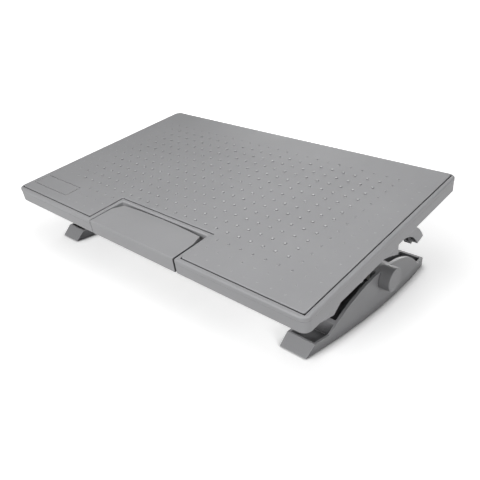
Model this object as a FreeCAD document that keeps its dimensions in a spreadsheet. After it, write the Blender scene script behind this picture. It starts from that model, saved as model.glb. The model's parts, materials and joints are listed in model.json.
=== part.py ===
import FreeCAD, Part
import math
import os
from types import SimpleNamespace

import Sketcher

# Tilting under-desk footrest.
# A moulded platform with a tread panel turns on a tube that is held by two trough-shaped feet.
# A rocking pedal in the platform's front edge works a band lock at the middle of the tube.
#
# Two frames are used, both with their origin on the pivot axis, +X to the user's right and
# +Y away from the user. "Standing" parts have +Z up. "Platform" parts have +Z square to the
# tread, and are turned about X by the rest tilt when they are placed.

Vector = FreeCAD.Vector
doc = FreeCAD.newDocument("TiltingFootrest")

DIMENSIONS = (
    # name, value (mm or degrees), what it is
    ("platform_width", 560, "platform, side to side"),
    ("platform_depth", 355, "platform, front to rear"),
    ("skirt_height", 21.3, "platform, rim top to the skirt's lower edge"),
    ("skirt_wall", 3, "wall of the skirt"),
    ("corner_round", 11, "radius of the platform's upright corners"),
    ("rim_width", 5.5, "border of the platform round the tread panel"),
    ("rim_round", 2.5, "radius of the rim's outer top edge"),
    ("rim_band", 6, "height of the band round the rim that stands out of the skirt"),
    ("rim_proud", 0.4, "how far that band stands out"),
    ("lip_bevel", 1.2, "bevel of the top edge round the pedal notch"),
    ("tread_seat", 3, "depth of the recess that holds the tread panel"),
    ("tread_thickness", 4.4, "tread panel"),
    ("tread_gap", 1.1, "groove between the rim and the tread panel"),
    ("tread_bevel", 0.9, "bevel of the tread panel's top edge"),
    ("tread_corner", 3, "radius of the tread panel's corners in plan"),
    ("deck_thickness", 3, "deck under the tread panel"),
    ("rib_wall", 2, "stiffening ribs under the deck"),
    ("rib_inset", 2, "ribs end this far above the skirt's lower edge"),
    ("ribs_across", 8, "ribs that run front to rear"),
    ("ribs_along", 5, "ribs that run side to side"),
    ("label_length", 83, "bare label recess, side to side"),
    ("label_depth", 0.5, "bare label recess, depth"),
    ("label_low", 27, "label recess, near edge from the platform's front edge"),
    ("label_high", 51, "label recess, far edge from the platform's front edge"),
    ("label_side", 10, "label recess, its left end from the platform's left edge"),
    ("notch_width", 173, "pedal notch, side to side"),
    ("notch_depth", 59.5, "pedal notch, front to rear"),
    ("notch_wall", 3, "walls of the pedal notch"),
    ("notch_round", 2, "radius of the notch's corners in plan"),
    ("pivot_height", 48, "pivot axis above the floor"),
    ("pivot_back", 195.6, "pivot axis behind the platform's front edge"),
    ("pivot_below_rim", 79.6, "pivot axis below the rim's top"),
    ("rest_tilt", 9.6, "tilt of the platform at rest, degrees"),
    ("pedal_side_gap", 2.5, "gap at each side of the pedal"),
    ("pedal_rear_gap", 1, "gap behind the pedal"),
    ("pedal_crease", 33, "crease of the pedal's top, from the front edge"),
    ("pedal_fall", 5.5, "slope of the pedal's rear facet, degrees"),
    ("pedal_bow", 4, "bow of the pedal's rear edge"),
    ("pedal_cut_side", 19, "pedal's rear corner cut, along the side"),
    ("pedal_cut_rear", 7.5, "pedal's rear corner cut, along the rear"),
    ("pedal_wall", 2.5, "side walls of the pedal"),
    ("pedal_top", 4.5, "top wall of the pedal at its front"),
    ("pedal_round", 1.5, "radius of the pedal's top edges"),
    ("pedal_axis_drop", 16, "pedal's hinge axis below the rim's top"),
    ("hinge_rod_diameter", 6, "rod that the pedal rocks on"),
    ("running_gap", 0.05, "radial clearance of a shaft in its bore"),
    ("link_arm", 22, "arm of the pedal and of the release collar"),
    ("link_pin_diameter", 4, "pins of the release link"),
    ("link_thickness", 3, "release link, flat steel"),
    ("link_height", 5, "release link, height of the strip"),
    ("link_eye", 5, "radius of the release link's eyes"),
    ("fork_gap", 0.4, "gap at each side of a link in its fork"),
    ("fork_wall", 3, "cheeks of the forks"),
    ("tube_diameter", 16, "pivot tube"),
    ("tube_wall", 1.5, "wall of the pivot tube"),
    ("drum_diameter", 22, "lock drum"),
    ("drum_length", 66, "lock drum"),
    ("band_gap", 0.2, "lock band, radial gap to the drum"),
    ("band_thickness", 1.6, "lock band, spring strip"),
    ("band_length", 22, "lock band, along the tube"),
    ("band_end_gap", 0.6, "lock band, gap to the collar"),
    ("band_tab_seat", 1.3, "the band's fixed tab, depth in the housing's roof"),
    ("bar_width", 3, "release bar of the collar, round the drum"),
    ("bar_height", 3, "release bar of the collar, radial"),
    ("bar_gap", 0.4, "release bar, gap to the bands and to their fixed tabs"),
    ("bar_play", 0.3, "release bar, gap to the free tabs when the pedal is pressed"),
    ("release_turn", 7, "turn of the pedal and of the release collar, degrees"),
    ("collar_gap", 0.1, "release collar, radial gap to the drum"),
    ("collar_wall", 4.4, "release collar's ring"),
    ("collar_width", 10, "release collar, along the tube"),
    ("roof_gap", 1.2, "lock housing's roof, gap to the collar"),
    ("roof_wall", 3, "lock housing's roof"),
    ("cheek_gap", 1, "lock housing, gap at each end of the drum"),
    ("cheek_wall", 4, "lock housing's cheeks"),
    ("cheek_play", 0.4, "lock housing, radial gap to the tube"),
    ("flange_thickness", 4, "screwed flanges under the ribs"),
    ("arm_width", 18, "pivot arm, side to side"),
    ("arm_web", 4, "web of the pivot arm"),
    ("arm_border", 5, "border round the pivot arm's pockets"),
    ("arm_top", 70, "pivot arm at its flange, front to rear"),
    ("arm_hub_radius", 15, "pivot arm's hub"),
    ("arm_flange_width", 54, "pivot arm's flange, side to side"),
    ("arm_flange_depth", 78, "pivot arm's flange, front to rear"),
    ("bush_wall", 2, "wall of the pivot bushes"),
    ("bush_flange_radius", 13, "flange of the pivot bushes"),
    ("bush_end_gap", 0.3, "gap from a bush flange to the foot"),
    ("boss_width", 10, "square screw bosses under the deck"),
    ("boss_margin", 1, "flange beyond its screw bosses"),
    ("foot_inner", 212, "foot's inboard face, from the middle"),
    ("foot_toe_width", 38, "foot at its ends, side to side"),
    ("foot_bow", 10.5, "bow of the foot's outer side"),
    ("foot_front", 156, "foot's toe ahead of the pivot"),
    ("foot_rear", 150, "foot's heel behind the pivot"),
    ("foot_rim", 14.5, "foot's rim above the floor"),
    ("foot_floor", 3, "floor of the foot's trough"),
    ("foot_inner_wall", 4, "foot's inboard wall"),
    ("toe_run", 14, "length of the toe's slope"),
    ("toe_ledge", 3, "flat ledge behind the toe's slope"),
    ("heel_run", 5, "length of the heel's slope"),
    ("heel_wall", 5, "flat ledge ahead of the heel's slope"),
    ("heel_round", 6, "radius of the heel's upright corners"),
    ("side_wall", 4, "outer wall of the foot beside the channel"),
    ("tube_boss", 32, "thick part of that wall round the tube, front to rear"),
    ("tray_wall", 3, "walls of the foot's front tray"),
    ("bulkhead_front", 104, "front bulkhead ahead of the pivot"),
    ("bulkhead_wall", 4, "front bulkhead"),
    ("channel_width", 32, "channel that the pivot arm stands in"),
    ("arch_radius", 172, "arch of the foot's walls"),
    ("arch_peak", 13, "top of the arch above the pivot"),
    ("arch_shift", 3, "top of the arch behind the pivot"),
    ("cap_diameter", 33, "pivot cap"),
    ("cap_seat", 3, "depth of the pivot cap's seat in the foot"),
    ("cap_end", 276, "pivot cap's end face, from the middle"),
    ("cap_plug", 15, "pivot cap's cross-shaped plug in the tube"),
    ("cap_cross", 5, "width of the cross's arms"),
    ("cap_bevel", 1.2, "bevel of the pivot cap's edge"),
    ("pad_proud", 1, "rubber pads stand this far below the sole"),
    ("pad_seat", 2, "depth of the pads' recesses"),
    ("pad_length", 40, "rubber pads, front to rear"),
    ("pad_width", 22, "rubber pads, side to side"),
    ("pad_place", 118, "rubber pads, ahead of and behind the pivot"),
    ("guard_rail", 6, "side guard's rail along the skirt's inner face, side to side"),
    ("guard_lobe", 6, "side guard's bump and tab, side to side"),
    ("hook_width", 20, "side guard's hook, side to side"),
    ("hook_outer_wall", 2.1, "hook's outer wall"),
    ("hook_pocket", 7.5, "hook's outer pocket, side to side"),
    ("hook_pocket_depth", 4, "hook's outer pocket, from the inner arc"),
    ("hook_rib", 2.5, "hook's rib between its pockets"),
    ("hook_recess", 5.5, "hook's inner pocket, side to side"),
    ("hook_recess_depth", 8, "hook's inner pocket, from the inner arc"),
    ("hook_centre", 4.4, "centre of the hook's inner arc above the pivot"),
    ("hook_arch", 1.2, "how far that arc would reach above the skirt's lower edge"),
    ("hook_reach", 14.1, "radius of the hook's outer arc, beyond the skirt's lower edge"),
    ("hook_outer_start", 27.2, "hook's lower end on its outer arc, degrees above the horizontal"),
    ("hook_inner_start", 27.8, "hook's lower end on its inner arc, degrees above the horizontal"),
    ("hook_rib_start", 21, "lower end of the hook's inner half on its inner arc, degrees"),
    ("tab_front", 39, "side tab, front end ahead of the pivot"),
    ("tab_middle", 20, "side tab, bend of its lower edge ahead of the pivot"),
    ("tab_rear", 4, "side tab, rear end ahead of the pivot"),
    ("tab_middle_drop", 6.8, "side tab below the skirt at the bend"),
    ("tab_drop", 14.3, "side tab below the skirt at its rear end"),
    ("slit_width", 0.6, "slit in the side tab, front to rear"),
    ("slit_top", 1.5, "upper end of the slit below the skirt"),
    ("bump_front", 172, "front bump of the side guard, its front end ahead of the pivot"),
    ("bump_low", 146, "front bump, its lowest point ahead of the pivot"),
    ("bump_rear", 132.5, "front bump, its rear end ahead of the pivot"),
    ("bump_drop", 8, "front bump below the skirt"),
    ("catch_place", 89, "small catch of the side guard, ahead of the pivot"),
    ("catch_length", 5, "small catch, front to rear"),
    ("catch_drop", 1.3, "small catch below the skirt"),
    ("tongue_length", 12, "side guard's tongues, front to rear"),
    ("tongue_height", 9, "side guard's tongues, above the rail"),
    ("tongue_wall", 2, "side guard's tongues, side to side"),
)


class Size:
    """A number together with the spreadsheet expression that gives it."""

    def __init__(self, value, text):
        self.value = float(value)
        self.text = text

    def __add__(self, other):
        other = as_size(other)
        return Size(self.value + other.value, f"({self.text} + {other.text})")

    def __sub__(self, other):
        other = as_size(other)
        return Size(self.value - other.value, f"({self.text} - {other.text})")

    def __mul__(self, other):
        other = as_size(other)
        return Size(self.value * other.value, f"{self.text} * {other.text}")

    def __truediv__(self, other):
        other = as_size(other)
        return Size(self.value / other.value, f"{self.text} / ({other.text})")

    def __neg__(self):
        return Size(-self.value, f"(-1 * {self.text})")


def as_size(number):
    """A plain number as a Size."""
    return number if isinstance(number, Size) else Size(number, f"({number})")


def root(size):
    return Size(math.sqrt(size.value), f"sqrt({size.text})")


def sine(angle):
    return Size(math.sin(math.radians(angle.value)), f"sin({angle.text})")


def cosine(angle):
    return Size(math.cos(math.radians(angle.value)), f"cos({angle.text})")


def tangent(angle):
    return Size(math.tan(math.radians(angle.value)), f"tan({angle.text})")


def larger(one, other):
    return Size(max(one.value, other.value), f"max({one.text}; {other.text})")


sheet = doc.addObject("Spreadsheet::Sheet", "Sizes")
s = SimpleNamespace()
for row, (word, number, note) in enumerate(DIMENSIONS, start=1):
    sheet.set(f"A{row}", word)
    sheet.set(f"B{row}", str(number))
    sheet.set(f"C{row}", note)
    sheet.setAlias(f"B{row}", word)
    setattr(s, word, Size(number, f"Sizes.{word}"))
doc.recompute()


# ---------------------------------------------------------------- drawing and building helpers

def bind(target, path, size):
    """Binds a property to the spreadsheet through the size's expression."""
    target.setExpression(path, as_size(size).text)


def sketch_on(body, name, role, shift=0):
    """A sketch on one of the body's origin planes, moved along the plane's normal."""
    plane = next(item for item in body.Origin.OriginFeatures if item.Role == role)
    sketch = body.newObject("Sketcher::SketchObject", name)
    sketch.AttachmentSupport = [(plane, "")]
    sketch.MapMode = "FlatFace"
    sketch.AttachmentOffset = FreeCAD.Placement(Vector(0, 0, as_size(shift).value), FreeCAD.Rotation())
    bind(sketch, "AttachmentOffset.Base.z", shift)
    return sketch


def hold(sketch, edge, end, x, y):
    """Fixes one end of an edge at (x, y) from the sketch's origin."""
    for kind, place, axis in (("DistanceX", x, -2), ("DistanceY", y, -1)):
        if abs(place.value) < 1e-9:
            sketch.addConstraint(Sketcher.Constraint("PointOnObject", edge, end, axis))
        else:
            index = sketch.addConstraint(Sketcher.Constraint(kind, -1, 1, edge, end, place.value))
            bind(sketch, f"Constraints[{index}]", place)


def arc_between(start, end, radius):
    """An arc that turns left from start to end for a positive radius and right for a negative one."""
    chord = end - start
    left = Vector(-chord.y, chord.x, 0).normalize()
    rise = math.sqrt(max(radius * radius - chord.Length ** 2 / 4, 0))
    centre = (start + end) / 2 + left * math.copysign(rise, radius)
    first, last = (start, end) if radius > 0 else (end, start)
    angles = [math.atan2(point.y - centre.y, point.x - centre.x) for point in (first, last)]
    if angles[1] <= angles[0]:
        angles[1] += 2 * math.pi
    circle = Part.Circle(centre, Vector(0, 0, 1), abs(radius))
    return Part.ArcOfCircle(circle, angles[0], angles[1])


def outline(sketch, corners, flip=False):
    """Draws a closed outline through corners of (x, y) or (x, y, radius).

    A radius bends the edge that follows the corner: to the left of the way of travel where it is
    positive, to the right where it is negative. flip mirrors the outline about the sketch's Y axis.
    """
    side = -1 if flip else 1
    places = [(as_size(corner[0]) * side, as_size(corner[1])) for corner in corners]
    points = [Vector(x.value, y.value, 0) for x, y in places]
    count = len(corners)
    ends = []
    for index, corner in enumerate(corners):
        start, end = points[index], points[(index + 1) % count]
        if len(corner) == 2:
            edge = sketch.addGeometry(Part.LineSegment(start, end), False)
            ends.append((edge, 1, 2))
        else:
            bend = corner[2] * side
            edge = sketch.addGeometry(arc_between(start, end, bend.value), False)
            ends.append((edge, 1, 2) if bend.value > 0 else (edge, 2, 1))
    for index in range(count):
        edge, first, last = ends[index]
        following = ends[(index + 1) % count]
        sketch.addConstraint(Sketcher.Constraint("Coincident", edge, last, following[0], following[1]))
    for index, corner in enumerate(corners):
        edge, first, last = ends[index]
        hold(sketch, edge, first, *places[index])
        if len(corner) == 3:
            bend = corner[2] if corner[2].value > 0 else -corner[2]
            number = sketch.addConstraint(Sketcher.Constraint("Radius", edge, bend.value))
            bind(sketch, f"Constraints[{number}]", bend)


def ring(sketch, x, y, radius):
    """Draws a circle."""
    x, y, radius = as_size(x), as_size(y), as_size(radius)
    circle = Part.Circle(Vector(x.value, y.value, 0), Vector(0, 0, 1), radius.value)
    edge = sketch.addGeometry(circle, False)
    hold(sketch, edge, 3, x, y)
    number = sketch.addConstraint(Sketcher.Constraint("Radius", edge, radius.value))
    bind(sketch, f"Constraints[{number}]", radius)


def rectangle(sketch, x_low, x_high, y_low, y_high):
    outline(sketch, ((x_low, y_low), (x_high, y_low), (x_high, y_high), (x_low, y_high)))


def rounded(sketch, x_low, x_high, y_low, y_high, r):
    """A rectangle with rounded corners."""
    outline(sketch, (
        (x_low + r, y_low), (x_high - r, y_low, r), (x_high, y_low + r), (x_high, y_high - r, r),
        (x_high - r, y_high), (x_low + r, y_high, r), (x_low, y_high - r), (x_low, y_low + r, r),
    ))


def feature(body, kind, sketch, length, symmetric=False, backwards=False):
    """A pad or a pocket of a sketch."""
    step = body.newObject(f"PartDesign::{kind}", f"{kind}{sketch.Name}")
    step.Profile = sketch
    if length is None:
        step.Type = "ThroughAll"
    else:
        bind(step, "Length", length)
    if symmetric:
        step.SideType = "Symmetric"
    step.Reversed = backwards
    sketch.Visibility = False
    return step


def pad(body, sketch, length, symmetric=False, backwards=False):
    return feature(body, "Pad", sketch, length, symmetric, backwards)


def pocket(body, sketch, length=None, symmetric=False, backwards=False):
    """A pocket cuts against the sketch plane's normal, or along it where backwards is set."""
    return feature(body, "Pocket", sketch, length, symmetric, backwards)


def round_edges(body, radius, wanted, kind="Fillet"):
    """Fillets or chamfers the edges for which wanted(edge) holds."""
    doc.recompute()
    base = body.Tip
    names = [f"Edge{number}" for number, edge in enumerate(base.Shape.Edges, start=1) if wanted(edge)]
    if not names:
        raise RuntimeError(f"no edge to round on {body.Label}")
    step = body.newObject(f"PartDesign::{kind}", f"{kind}{len(body.Group)}")
    step.Base = (base, names)
    bind(step, "Radius" if kind == "Fillet" else "Size", radius)
    return step


def upright(edge, x, y, reach=0.01):
    """True for a straight edge along Z at (x, y)."""
    box = edge.BoundBox
    return (box.XLength < reach and box.YLength < reach and box.ZLength > reach
            and abs(box.XMin - x) < reach and abs(box.YMin - y) < reach)


def on_level(edge, z, reach=0.01):
    """True for an edge that lies in the plane at height z."""
    box = edge.BoundBox
    return abs(box.ZMin - z) < reach and abs(box.ZMax - z) < reach


def repeat(body, original, axis_role, length, count):
    """Repeats a feature along one of the body's origin axes."""
    axis = next(item for item in body.Origin.OriginFeatures if item.Role == axis_role)
    pattern = body.newObject("PartDesign::LinearPattern", f"Repeat{original.Name}")
    pattern.Originals = [original]
    pattern.Direction = (axis, [""])
    bind(pattern, "Length", length)
    bind(pattern, "Occurrences", count)
    body.Tip = pattern
    return pattern


def mirrored(body, originals):
    """Copies features to the other side of the middle plane."""
    plane = next(item for item in body.Origin.OriginFeatures if item.Role == "YZ_Plane")
    copy = body.newObject("PartDesign::Mirrored", f"Mirror{originals[0].Name}")
    copy.Originals = originals
    copy.MirrorPlane = (plane, [""])
    body.Tip = copy
    return copy


def low_end(side, near, far):
    """The lower end in X of what runs from near to far outboard, on the right (1) or left (-1)."""
    return near if side > 0 else -far


SIDES = (("right", 1), ("left", -1))
nodes = []


def new_body(label, turned):
    """A body in the standing frame, or in the platform's frame where turned is set."""
    body = doc.addObject("PartDesign::Body", "Body_" + label)
    body.Label = label
    nodes.append((body, turned))
    return body


def rod_along_x(label, turned, y, z, radius, low, high, bore=None):
    """A round rod or tube along X from low to high."""
    body = new_body(label, turned)
    sketch = sketch_on(body, f"Section_{label}", "YZ_Plane", low)
    ring(sketch, y, z, radius)
    if bore is not None:
        ring(sketch, y, z, bore)
    pad(body, sketch, high - low)
    return body


# ---------------------------------------------------------------- levels and places that pieces share

rim_top = s.pivot_below_rim
skirt_low = rim_top - s.skirt_height
rib_low = skirt_low + s.rib_inset
seat_level = rim_top - s.tread_seat
deck_low = seat_level - s.deck_thickness
tread_top = seat_level + s.tread_thickness
front_edge = -s.pivot_back
rear_edge = s.platform_depth - s.pivot_back
half_width = s.platform_width / 2
skirt_face = half_width - s.rim_proud
skirt_inner = half_width - s.skirt_wall
skirt_inner_front = front_edge + s.skirt_wall
skirt_inner_rear = rear_edge - s.skirt_wall
rib_cell_y = (skirt_inner_rear - skirt_inner_front) / (s.ribs_along + 1)
notch_half = s.notch_width / 2
notch_rear = front_edge + s.notch_depth

pedal_half = notch_half - s.pedal_side_gap
pedal_rear = notch_rear - s.pedal_rear_gap
pedal_crease_y = front_edge + s.pedal_crease
pedal_axis_y = pedal_crease_y
pedal_axis_z = rim_top - s.pedal_axis_drop
hinge_radius = s.hinge_rod_diameter / 2
link_pin_z = pedal_axis_z - s.link_arm
link_pin_radius = s.link_pin_diameter / 2
link_bore = link_pin_radius + s.running_gap
fork_slot = s.link_thickness + s.fork_gap * 2
fork_width = fork_slot + s.fork_wall * 2

tube_radius = s.tube_diameter / 2
tube_bore = tube_radius - s.tube_wall
drum_radius = s.drum_diameter / 2
band_inner = drum_radius + s.band_gap
band_outer = band_inner + s.band_thickness
band_near = s.collar_width / 2 + s.band_end_gap
band_far = band_near + s.band_length
bar_low = band_outer + s.bar_gap
bar_high = bar_low + s.bar_height
collar_bore = drum_radius + s.collar_gap
collar_radius = collar_bore + s.collar_wall
roof_inner = collar_radius + s.roof_gap
roof_outer = roof_inner + s.roof_wall
fixed_tab = s.bar_width / 2 + s.bar_gap
fixed_tab_top = roof_inner + s.band_tab_seat
free_tab = s.bar_width / 2 + bar_high * tangent(s.release_turn) + s.bar_play
cheek_inner = s.drum_length / 2 + s.cheek_gap
cheek_outer = cheek_inner + s.cheek_wall
flange_low = rib_low - s.flange_thickness

floor = -s.pivot_height
sole = floor + s.pad_proud
rim_level = floor + s.foot_rim
trough_floor = sole + s.foot_floor
foot_middle = (s.foot_rear - s.foot_front) / 2
half_foot = (s.foot_rear + s.foot_front) / 2
bow_radius = (half_foot * half_foot + s.foot_bow * s.foot_bow) / (s.foot_bow * 2)
channel_inner = s.foot_inner + s.foot_inner_wall
channel_outer = channel_inner + s.channel_width
arm_middle = (channel_inner + channel_outer) / 2
cap_inner = s.foot_inner + s.foot_toe_width + s.foot_bow - s.cap_seat
arch_rise = s.arch_peak - rim_level
arch_half = root(s.arch_radius * s.arch_radius
                 - (s.arch_radius - arch_rise) * (s.arch_radius - arch_rise))
pad_middle = s.foot_inner + s.foot_toe_width / 2

half_boss = s.boss_width / 2
arm_boss_x = s.arm_flange_width / 2 - half_boss - s.boss_margin
arm_boss_y = s.arm_flange_depth / 2 - half_boss - s.boss_margin
housing_flange_half = roof_outer + s.boss_width + s.boss_margin
housing_boss_x = cheek_outer - half_boss - s.boss_margin
housing_boss_y = housing_flange_half - half_boss - s.boss_margin
boss_places = [(arm_middle * side + arm_boss_x * across, arm_boss_y * along)
               for side in (-1, 1) for across in (-1, 1) for along in (-1, 1)]
boss_places += [(housing_boss_x * across, housing_boss_y * along)
                for across in (-1, 1) for along in (-1, 1)]


def outer_side(y, inset):
    """The foot's outer side, drawn in by an inset, at a distance y behind the pivot."""
    off = as_size(y) - foot_middle
    radius = bow_radius - inset
    return s.foot_inner + s.foot_toe_width + s.foot_bow - bow_radius + root(radius * radius - off * off)


# ---------------------------------------------------------------- platform

def platform_frame():
    """The platform's moulding: rim, skirt, deck, ribs and pedal notch."""
    body = new_body("platform_frame", True)
    for word, inset, low, high in (("Skirt", s.rim_proud, skirt_low, rim_top - s.rim_band),
                                   ("Rim", as_size(0), rim_top - s.rim_band, rim_top)):
        block = sketch_on(body, f"{word}Outline", "XY_Plane", low)
        rounded(block, -half_width + inset, half_width - inset, front_edge + inset, rear_edge - inset,
                s.corner_round - inset)
        pad(body, block, high - low)

    cavity = sketch_on(body, "FrameCavity", "XY_Plane", skirt_low)
    rounded(cavity, -skirt_inner, skirt_inner, skirt_inner_front, skirt_inner_rear,
            s.corner_round - s.skirt_wall)
    pocket(body, cavity, deck_low - skirt_low, backwards=True)

    # Ribs divide the underside into cells of one size.
    rib_height = deck_low - rib_low
    cell_x = skirt_inner * 2 / (s.ribs_across + 1)
    half_rib = s.rib_wall / 2
    across = sketch_on(body, "RibAcross", "XY_Plane", rib_low)
    rib_x = -skirt_inner + cell_x
    rectangle(across, rib_x - half_rib, rib_x + half_rib, skirt_inner_front - 1, skirt_inner_rear + 1)
    repeat(body, pad(body, across, rib_height), "X_Axis", cell_x * (s.ribs_across - 1), s.ribs_across)
    along = sketch_on(body, "RibAlong", "XY_Plane", rib_low)
    rib_y = skirt_inner_front + rib_cell_y
    rectangle(along, -skirt_inner - 1, skirt_inner + 1, rib_y - half_rib, rib_y + half_rib)
    repeat(body, pad(body, along, rib_height), "Y_Axis", rib_cell_y * (s.ribs_along - 1), s.ribs_along)

    bosses = sketch_on(body, "ScrewBosses", "XY_Plane", rib_low)
    for x, y in boss_places:
        rectangle(bosses, x - half_boss, x + half_boss, y - half_boss, y + half_boss)
    pad(body, bosses, rib_height)

    # The pedal notch has walls of its own, down to the skirt's lower edge.
    walls = sketch_on(body, "NotchWalls", "XY_Plane", skirt_low)
    rectangle(walls, -notch_half - s.notch_wall, notch_half + s.notch_wall,
              front_edge + s.skirt_wall / 2, notch_rear + s.notch_wall)
    pad(body, walls, s.skirt_height)
    notch = sketch_on(body, "Notch", "XY_Plane", skirt_low)
    rectangle(notch, -notch_half, notch_half, front_edge - 1, notch_rear)
    pocket(body, notch, s.skirt_height, backwards=True)
    round_edges(body, s.notch_round,
                lambda edge: any(upright(edge, x, notch_rear.value)
                                 for x in (-notch_half.value, notch_half.value)))
    bores = sketch_on(body, "HingeRodBores", "YZ_Plane")
    ring(bores, pedal_axis_y, pedal_axis_z, hinge_radius)
    pocket(body, bores, (notch_half + s.notch_wall) * 2, symmetric=True)

    # Seat of the tread panel, with a lip of the rim's width round the notch.
    seat = sketch_on(body, "TreadSeat", "XY_Plane", rim_top)
    outline(seat, tread_outline(as_size(0)))
    pocket(body, seat, s.tread_seat)

    # Rounded rim and bevelled lip.
    def outer_top(edge):
        box = edge.BoundBox
        return on_level(edge, rim_top.value) and (
            max(box.XMax, -box.XMin) > half_width.value - 0.01
            or box.YMax > rear_edge.value - 0.01
            or box.YMin < front_edge.value + 0.01 and box.XLength > 0.01)

    def notch_top(edge):
        box = edge.BoundBox
        return (on_level(edge, rim_top.value) and max(box.XMax, -box.XMin) < notch_half.value + 0.01
                and box.YMax < notch_rear.value + 0.01)
    round_edges(body, s.rim_round, outer_top)
    round_edges(body, s.lip_bevel, notch_top, "Chamfer")
    return body


def tread_outline(gap):
    """Outline of the tread panel's seat, drawn in by a gap."""
    inset = s.rim_width + gap
    side = half_width - inset
    notch_side = notch_half + inset
    near = front_edge + inset
    return (
        (-side, near), (-notch_side, near), (-notch_side, notch_rear + inset),
        (notch_side, notch_rear + inset), (notch_side, near), (side, near),
        (side, rear_edge - inset), (-side, rear_edge - inset),
    )


def tread_panel():
    """The tread: a plate with rounded edges and a bare recessed label place."""
    body = new_body("tread_panel", True)
    plate = sketch_on(body, "TreadPlate", "XY_Plane", seat_level)
    outline(plate, tread_outline(s.tread_gap))
    pad(body, plate, s.tread_thickness)
    round_edges(body, s.tread_corner, lambda edge: edge.BoundBox.ZLength > s.tread_thickness.value / 2)
    round_edges(body, s.tread_bevel, lambda edge: on_level(edge, tread_top.value), "Chamfer")
    label = sketch_on(body, "LabelPlace", "XY_Plane", tread_top)
    left = -half_width + s.label_side
    rectangle(label, left, left + s.label_length, front_edge + s.label_low, front_edge + s.label_high)
    pocket(body, label, s.label_depth)
    return body


def side_guard(label, side):
    """A rail under the ribs, inside the skirt, with a bump, a tab and a hook below the skirt."""
    body = new_body(label, True)
    arc_middle = s.hook_centre
    inner = skirt_low - arc_middle + s.hook_arch
    outer = skirt_low + s.hook_reach
    rail_rear = root(outer * outer - skirt_low * skirt_low)
    rail_inner = skirt_inner - s.guard_rail

    def strip(word, near, far, *outlines):
        """Pads outlines in the side view, from near to far outboard."""
        sketch = sketch_on(body, f"{word}_{label}", "YZ_Plane", low_end(side, near, far))
        for corners in outlines:
            outline(sketch, corners)
        pad(body, sketch, far - near)

    def at_angle(radius, angle):
        """A point of an arc with the hook's inner centre."""
        return radius * cosine(angle), arc_middle + radius * sine(angle)

    def at_height(radius, z):
        return root(radius * radius - (z - arc_middle) * (z - arc_middle)), z

    def hook_outline(inner_start):
        return (
            at_angle(inner, inner_start),
            (outer * cosine(s.hook_outer_start), outer * sine(s.hook_outer_start), outer),
            (rail_rear, skirt_low), (*at_height(inner, skirt_low), -inner),
        )

    strip("GuardRail", rail_inner, skirt_inner, (
        (-s.bump_front, skirt_low), (rail_rear, skirt_low), (rail_rear, rib_low),
        (-s.bump_front, rib_low),
    ))
    half_catch = s.catch_length / 2
    strip("GuardLobes", skirt_face - s.guard_lobe, skirt_face, (
        (-s.bump_front, skirt_low), (-s.bump_low, skirt_low - s.bump_drop), (-s.bump_rear, skirt_low),
    ), (
        (-s.tab_front, skirt_low), (-s.tab_middle, skirt_low - s.tab_middle_drop),
        (-s.tab_rear, skirt_low - s.tab_drop), (-s.tab_rear, skirt_low),
    ), (
        (-s.catch_place - half_catch, skirt_low),
        (-s.catch_place - half_catch, skirt_low - s.catch_drop),
        (-s.catch_place + half_catch, skirt_low - s.catch_drop),
        (-s.catch_place + half_catch, skirt_low),
    ))
    hook_inner = skirt_face - s.hook_width
    hook_middle = skirt_face - s.hook_outer_wall - s.hook_pocket
    strip("HookOuter", hook_middle, skirt_face, hook_outline(s.hook_inner_start))
    strip("HookInner", hook_inner, hook_middle, hook_outline(s.hook_rib_start))

    # Two pockets open on the hook's inner arc and leave a rib between them.
    top = skirt_low - s.hook_outer_wall
    mouth = inner - 1
    for word, near, depth, width, start in (
            ("Pocket", hook_middle, s.hook_pocket_depth, s.hook_pocket, s.hook_inner_start),
            ("Recess", hook_middle - s.hook_rib - s.hook_recess, s.hook_recess_depth, s.hook_recess,
             s.hook_rib_start)):
        wall = inner + depth
        low = start + 4
        hollow = sketch_on(body, f"Hook{word}_{label}", "YZ_Plane", low_end(side, near, near + width))
        outline(hollow, (
            at_angle(mouth, low), (*at_angle(wall, low), wall), at_height(wall, top),
            (*at_height(mouth, top), -mouth),
        ))
        pocket(body, hollow, width, backwards=True)

    # The tab's slit, and tongues that reach up between the ribs.
    slit = sketch_on(body, f"TabSlit_{label}", "YZ_Plane",
                     low_end(side, skirt_face - s.guard_lobe, skirt_face))
    rectangle(slit, -s.tab_middle, -s.tab_middle + s.slit_width,
              skirt_low - s.tab_drop, skirt_low - s.slit_top)
    pocket(body, slit, s.guard_lobe, backwards=True)
    tongues = sketch_on(body, f"Tongues_{label}", "YZ_Plane",
                        low_end(side, skirt_inner - s.tongue_wall, skirt_inner))
    for cell in (0.5, 1.5, 3.5):
        middle = skirt_inner_front + rib_cell_y * cell
        half = s.tongue_length / 2
        rectangle(tongues, middle - half, middle + half, rib_low, rib_low + s.tongue_height)
    pad(body, tongues, s.tongue_wall)
    return body


# ---------------------------------------------------------------- pedal and its hinge

def pedal_outline(inset):
    """The pedal seen from above: cut rear corners and a bowed rear edge."""
    side = pedal_half - inset
    rear = pedal_rear - s.pedal_bow - inset
    cut_x = side - s.pedal_cut_rear
    bow = (cut_x * cut_x + s.pedal_bow * s.pedal_bow) / (s.pedal_bow * 2)
    near = front_edge + inset
    return (
        (-side, near), (side, near), (side, rear - s.pedal_cut_side),
        (cut_x, rear, bow), (-cut_x, rear), (-side, rear - s.pedal_cut_side),
    )


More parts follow.
